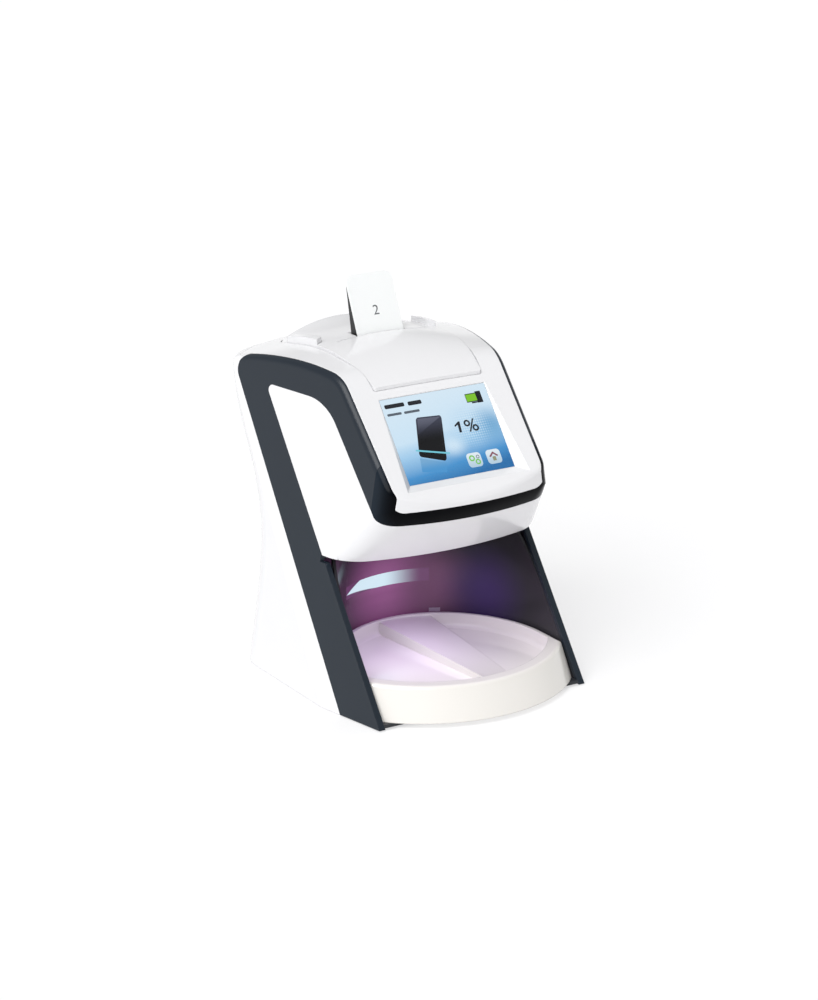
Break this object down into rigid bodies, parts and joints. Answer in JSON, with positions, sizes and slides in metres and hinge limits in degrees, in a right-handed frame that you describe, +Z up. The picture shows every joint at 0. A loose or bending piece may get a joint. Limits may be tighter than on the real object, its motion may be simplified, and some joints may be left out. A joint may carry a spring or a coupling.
{
  "type": "dental phosphor plate scanner",
  "caption": "Desk-top dental imaging-plate reader: plate slot in a domed lid, colour touch screen on a sloping face, collecting tray in a lit niche, laser read-out mechanism inside.",
  "frame": {"origin": "on the floor, under the centre of the box round the whole part", "axes": "+X to the right seen from the screen side, +Y to the back, +Z up"},
  "size_m": [0.16, 0.1958, 0.2296],
  "materials": {
    "white_gloss": "smooth gloss, white",
    "frame_dark": "satin anthracite",
    "bumper_dark": "satin, nearly black",
    "liner_dark": "glossy dark grey",
    "glow": "translucent light window",
    "sensor_grey": "smooth grey window",
    "glass": "flat touch glass",
    "display": "colour display",
    "plate_face": "satin phosphor plate",
    "holder_black": "matt black",
    "acetal": "natural bearing plastic",
    "steel": "ground steel",
    "sheet": "folded sheet",
    "brass": "turned brass",
    "optic_clear": "clear light guide",
    "optic_mirror": "polished facets",
    "board": "circuit board",
    "socket": "moulded black",
    "rubber": "soft rubber"
  },
  "bodies": {
    "housing": {"side_frame_left": "frame_dark", "side_frame_right": "frame_dark", "front_bumper": "bumper_dark", "top_shell": "white_gloss", "underbody": "white_gloss", "rear_shell": "white_gloss", "base_plate": "socket", "niche_liner": "liner_dark", "light_strip_lens": "glow", "strip_board": "board", "tray_sensor": "sensor_grey", "touch_glass": "glass", "lcd_panel": "display", "screen_bracket": "sheet", "guide_rods": "steel", "feed_motor": "steel", "scan_frame": "sheet", "inner_frame": "sheet", "optics_bench": "sheet", "laser_module": "brass", "polygon_motor": "steel", "light_guide": "optic_clear", "photomultiplier": "holder_black", "erase_board": "board", "main_board": "board", "rear_panel": "socket", "power_inlet": "socket", "network_socket": "socket", "switch_body": "socket", "rubber_feet": "rubber", "base_screws": "steel", "frame_screws": "steel"},
    "lid": {"top_lid": "white_gloss"},
    "tray": {"collecting_tray": "white_gloss"},
    "carriage": {"plate_carriage": "acetal", "plate_holder": "holder_black", "lead_nut": "brass"},
    "plate": {"imaging_plate": "plate_face"},
    "screw": {"lead_screw": "steel"},
    "mirror": {"polygon_mirror": "optic_mirror"},
    "flap": {"eject_flap": "liner_dark"},
    "rocker": {"switch_rocker": "socket"}
  },
  "joints": [
    {"name": "carriage_slide", "type": "slide", "parent": "housing", "child": "carriage", "axis": [0, -0.4147, -0.91], "range_m": [0, 0.045]},
    {"name": "screw_spin", "type": "hinge", "parent": "housing", "child": "screw", "pos_m": [0, 0.03849, 0.15344], "axis": [0, 0.4147, 0.91], "range_deg": [0, 2025.5]},
    {"name": "plate_lift", "type": "slide", "parent": "carriage", "child": "plate", "axis": [0, 0.4147, 0.91], "range_m": [0, 0.045]},
    {"name": "lid_lift", "type": "slide", "parent": "housing", "child": "lid", "axis": [0, 0.4147, 0.91], "range_m": [0, 0.06]},
    {"name": "tray_slide", "type": "slide", "parent": "housing", "child": "tray", "axis": [0, -1, 0], "range_m": [0, 0.1]},
    {"name": "mirror_spin", "type": "hinge", "parent": "housing", "child": "mirror", "pos_m": [0, -0.00125, 0.13858], "axis": [0, 0.91, -0.4147], "continuous": true},
    {"name": "flap_hinge", "type": "hinge", "parent": "housing", "child": "flap", "pos_m": [0, -0.0056, 0.0889], "axis": [1, 0, 0], "range_deg": [0, 70], "stiffness_Nm_per_rad": 0.001, "springref_deg": -45.84},
    {"name": "rocker_tilt", "type": "hinge", "parent": "housing", "child": "rocker", "pos_m": [0.03, 0.056, 0.027], "axis": [-1, 0, 0], "range_deg": [0, 14]}
  ],
  "couplings": [
    {"joint": "screw_spin", "follows": "carriage_slide", "rad_per_m": 785.4}
  ]
}
